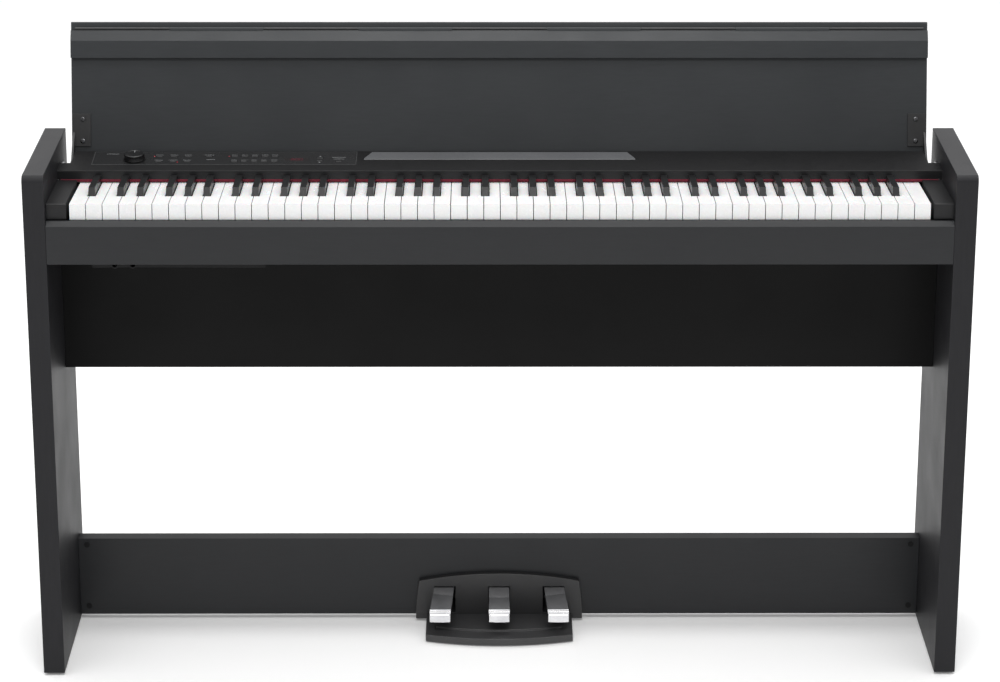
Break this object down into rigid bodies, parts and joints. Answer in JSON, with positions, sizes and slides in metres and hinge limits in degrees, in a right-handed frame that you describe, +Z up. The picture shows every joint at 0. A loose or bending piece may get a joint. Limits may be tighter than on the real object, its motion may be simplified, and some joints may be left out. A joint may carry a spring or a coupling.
{
  "type": "digital piano on stand",
  "caption": "Slim digital piano with a full weighted keyboard, folding lid, panel controls and a pedal unit, on a cabinet stand of side panels and cross boards.",
  "frame": {"origin": "on the floor, under the middle of the whole object's bounding box with the lid open", "axes": "+X along the keyboard to the player's right, +Y from the player to the back, +Z up"},
  "size_m": [1.355, 0.351, 0.9267],
  "materials": {
    "cabinet_board": "satin black foil over particle board",
    "lid_board": "satin black paint",
    "inner_board": "plain fibreboard",
    "black_plastic": "fine-grained moulded black",
    "gloss_panel": "polished black",
    "ledge_grey": "satin dark grey",
    "key_white": "smooth white",
    "key_black": "matt black",
    "button_plastic": "satin grey",
    "knob_plastic": "satin black",
    "display_lens": "dark red filter",
    "red_felt": "wool felt",
    "grey_felt": "wool felt",
    "weight_steel": "plain steel",
    "rod_steel": "ground steel",
    "hinge_steel": "black coated steel",
    "screw_steel": "dark plated steel",
    "pedal_chrome": "polished chrome plate",
    "board_green": "lacquered circuit board",
    "speaker_metal": "black coated steel",
    "grille_metal": "black perforated steel",
    "rubber_black": "plain rubber"
  },
  "bodies": {
    "cabinet": {"side_panel_left": "cabinet_board", "side_panel_right": "cabinet_board", "glide_feet": "rubber_black", "front_rail": "cabinet_board", "key_bed": "inner_board", "speaker_front_board": "cabinet_board", "speaker_bottom_board": "cabinet_board", "rear_panel": "cabinet_board", "key_blocks": "cabinet_board", "pedal_board": "cabinet_board", "cam_covers": "black_plastic", "anti_tip_feet": "hinge_steel", "key_chassis": "black_plastic", "action_rods": "rod_steel", "key_guide_rail": "black_plastic", "action_felts": "grey_felt", "name_felt": "red_felt", "top_board": "black_plastic", "control_panel": "gloss_panel", "display_window": "display_lens", "volume_potentiometer": "rod_steel", "circuit_boards": "board_green", "lid_pins": "rod_steel", "speakers": "speaker_metal", "speaker_grilles": "grille_metal", "jack_box": "black_plastic", "power_inlet": "black_plastic", "pedal_housing": "black_plastic", "pedal_pivot_rod": "rod_steel", "pedal_base": "black_plastic"},
    "lid": {"lid_panel": "lid_board", "flap_hinge": "hinge_steel", "lid_brackets": "hinge_steel", "bracket_screws": "screw_steel"},
    "lid_flap": {"lid_flap": "lid_board"},
    "music_ledge": {"music_ledge": "ledge_grey"},
    "volume_knob": {"volume_knob": "knob_plastic"},
    "sound_buttons": {"sound_buttons": "button_plastic"},
    "function_buttons": {"function_buttons": "button_plastic"},
    "up_button": {"up_button": "button_plastic"},
    "down_button": {"down_button": "button_plastic"},
    "pedal_left": {"pedal_left": "pedal_chrome"},
    "pedal_middle": {"pedal_middle": "pedal_chrome"},
    "pedal_right": {"pedal_right": "pedal_chrome"},
    "keys_low": {"white_keys_low": "key_white", "black_keys_low": "key_black"},
    "keys_high": {"white_keys_high": "key_white", "black_keys_high": "key_black"},
    "hammers_low": {"hammers_low": "weight_steel"},
    "hammers_high": {"hammers_high": "weight_steel"},
    "key_c4": {"key_c4": "key_white"},
    "hammer_c4": {"hammer_c4": "weight_steel"},
    "key_c_sharp4": {"key_c_sharp4": "key_black"},
    "hammer_c_sharp4": {"hammer_c_sharp4": "weight_steel"},
    "key_d4": {"key_d4": "key_white"},
    "hammer_d4": {"hammer_d4": "weight_steel"},
    "key_d_sharp4": {"key_d_sharp4": "key_black"},
    "hammer_d_sharp4": {"hammer_d_sharp4": "weight_steel"},
    "key_e4": {"key_e4": "key_white"},
    "hammer_e4": {"hammer_e4": "weight_steel"}
  },
  "joints": [
    {"name": "fold_lid", "type": "hinge", "parent": "cabinet", "child": "lid", "pos_m": [0, 0.0365, 0.728], "axis": [1, 0, 0], "range_deg": [0, 104]},
    {"name": "fold_flap", "type": "hinge", "parent": "lid", "child": "lid_flap", "pos_m": [0, 0.10914, 0.91807], "axis": [-1, 0, 0], "range_deg": [0, 90]},
    {"name": "flip_ledge", "type": "hinge", "parent": "cabinet", "child": "music_ledge", "pos_m": [0, 0.02028, 0.74037], "axis": [-1, 0, 0], "range_deg": [-90, 0]},
    {"name": "foot_pedal_left", "type": "hinge", "parent": "cabinet", "child": "pedal_left", "pos_m": [-0.0797, 0.0605, 0.05], "axis": [1, 0, 0], "range_deg": [0, 6.5], "stiffness_Nm_per_rad": 8, "springref_deg": -11.46},
    {"name": "foot_pedal_middle", "type": "hinge", "parent": "cabinet", "child": "pedal_middle", "pos_m": [0, 0.0605, 0.05], "axis": [1, 0, 0], "range_deg": [0, 6.5], "stiffness_Nm_per_rad": 8, "springref_deg": -11.46},
    {"name": "foot_pedal_right", "type": "hinge", "parent": "cabinet", "child": "pedal_right", "pos_m": [0.0797, 0.0605, 0.05], "axis": [1, 0, 0], "range_deg": [0, 6.5], "stiffness_Nm_per_rad": 8, "springref_deg": -11.46},
    {"name": "key_c4", "type": "hinge", "parent": "cabinet", "child": "key_c4", "pos_m": [-0.059, 0.0385, 0.702], "axis": [1, 0, 0], "range_deg": [0, 3], "stiffness_Nm_per_rad": 0.4, "springref_deg": -11.46},
    {"name": "key_c_sharp4", "type": "hinge", "parent": "cabinet", "child": "key_c_sharp4", "pos_m": [-0.0498, 0.0385, 0.702], "axis": [1, 0, 0], "range_deg": [0, 3], "stiffness_Nm_per_rad": 0.4, "springref_deg": -11.46},
    {"name": "key_d4", "type": "hinge", "parent": "cabinet", "child": "key_d4", "pos_m": [-0.0354, 0.0385, 0.702], "axis": [1, 0, 0], "range_deg": [0, 3], "stiffness_Nm_per_rad": 0.4, "springref_deg": -11.46},
    {"name": "key_d_sharp4", "type": "hinge", "parent": "cabinet", "child": "key_d_sharp4", "pos_m": [-0.0214, 0.0385, 0.702], "axis": [1, 0, 0], "range_deg": [0, 3], "stiffness_Nm_per_rad": 0.4, "springref_deg": -11.46},
    {"name": "key_e4", "type": "hinge", "parent": "cabinet", "child": "key_e4", "pos_m": [-0.0118, 0.0385, 0.702], "axis": [1, 0, 0], "range_deg": [0, 3], "stiffness_Nm_per_rad": 0.4, "springref_deg": -11.46},
    {"name": "key_group_low", "type": "hinge", "parent": "cabinet", "child": "keys_low", "pos_m": [-0.35, 0.0385, 0.702], "axis": [1, 0, 0], "range_deg": [0, 3], "stiffness_Nm_per_rad": 15.6, "springref_deg": -11.46},
    {"name": "key_group_high", "type": "hinge", "parent": "cabinet", "child": "keys_high", "pos_m": [0.32, 0.0385, 0.702], "axis": [1, 0, 0], "range_deg": [0, 3], "stiffness_Nm_per_rad": 17.6, "springref_deg": -11.46},
    {"name": "swing_hammer_c4", "type": "hinge", "parent": "cabinet", "child": "hammer_c4", "pos_m": [-0.059, -0.0255, 0.676], "axis": [1, 0, 0], "range_deg": [-9, 0]},
    {"name": "swing_hammer_c_sharp4", "type": "hinge", "parent": "cabinet", "child": "hammer_c_sharp4", "pos_m": [-0.0498, -0.0255, 0.676], "axis": [1, 0, 0], "range_deg": [-9, 0]},
    {"name": "swing_hammer_d4", "type": "hinge", "parent": "cabinet", "child": "hammer_d4", "pos_m": [-0.0354, -0.0255, 0.676], "axis": [1, 0, 0], "range_deg": [-9, 0]},
    {"name": "swing_hammer_d_sharp4", "type": "hinge", "parent": "cabinet", "child": "hammer_d_sharp4", "pos_m": [-0.0214, -0.0255, 0.676], "axis": [1, 0, 0], "range_deg": [-9, 0]},
    {"name": "swing_hammer_e4", "type": "hinge", "parent": "cabinet", "child": "hammer_e4", "pos_m": [-0.0118, -0.0255, 0.676], "axis": [1, 0, 0], "range_deg": [-9, 0]},
    {"name": "swing_hammers_low", "type": "hinge", "parent": "cabinet", "child": "hammers_low", "pos_m": [-0.35, -0.0255, 0.676], "axis": [1, 0, 0], "range_deg": [-9, 0]},
    {"name": "swing_hammers_high", "type": "hinge", "parent": "cabinet", "child": "hammers_high", "pos_m": [0.32, -0.0255, 0.676], "axis": [1, 0, 0], "range_deg": [-9, 0]},
    {"name": "knob_volume", "type": "hinge", "parent": "cabinet", "child": "volume_knob", "pos_m": [-0.538, 0.01733, 0.74192], "axis": [0, -0.0872, 0.9962], "range_deg": [-150, 150]},
    {"name": "press_sound_buttons", "type": "slide", "parent": "cabinet", "child": "sound_buttons", "axis": [0, 0.0872, -0.9962], "range_m": [0, 0.0008], "stiffness_N_per_m": 600, "springref_m": -0.002},
    {"name": "press_function_buttons", "type": "slide", "parent": "cabinet", "child": "function_buttons", "axis": [0, 0.0872, -0.9962], "range_m": [0, 0.0008], "stiffness_N_per_m": 480, "springref_m": -0.002},
    {"name": "press_up_button", "type": "slide", "parent": "cabinet", "child": "up_button", "axis": [0, 0.0872, -0.9962], "range_m": [0, 0.0008], "stiffness_N_per_m": 150, "springref_m": -0.002},
    {"name": "press_down_button", "type": "slide", "parent": "cabinet", "child": "down_button", "axis": [0, 0.0872, -0.9962], "range_m": [0, 0.0008], "stiffness_N_per_m": 150, "springref_m": -0.002}
  ],
  "couplings": [
    {"joint": "swing_hammer_c4", "follows": "key_c4", "ratio": -3},
    {"joint": "swing_hammer_c_sharp4", "follows": "key_c_sharp4", "ratio": -3},
    {"joint": "swing_hammer_d4", "follows": "key_d4", "ratio": -3},
    {"joint": "swing_hammer_d_sharp4", "follows": "key_d_sharp4", "ratio": -3},
    {"joint": "swing_hammer_e4", "follows": "key_e4", "ratio": -3},
    {"joint": "swing_hammers_low", "follows": "key_group_low", "ratio": -3},
    {"joint": "swing_hammers_high", "follows": "key_group_high", "ratio": -3}
  ]
}
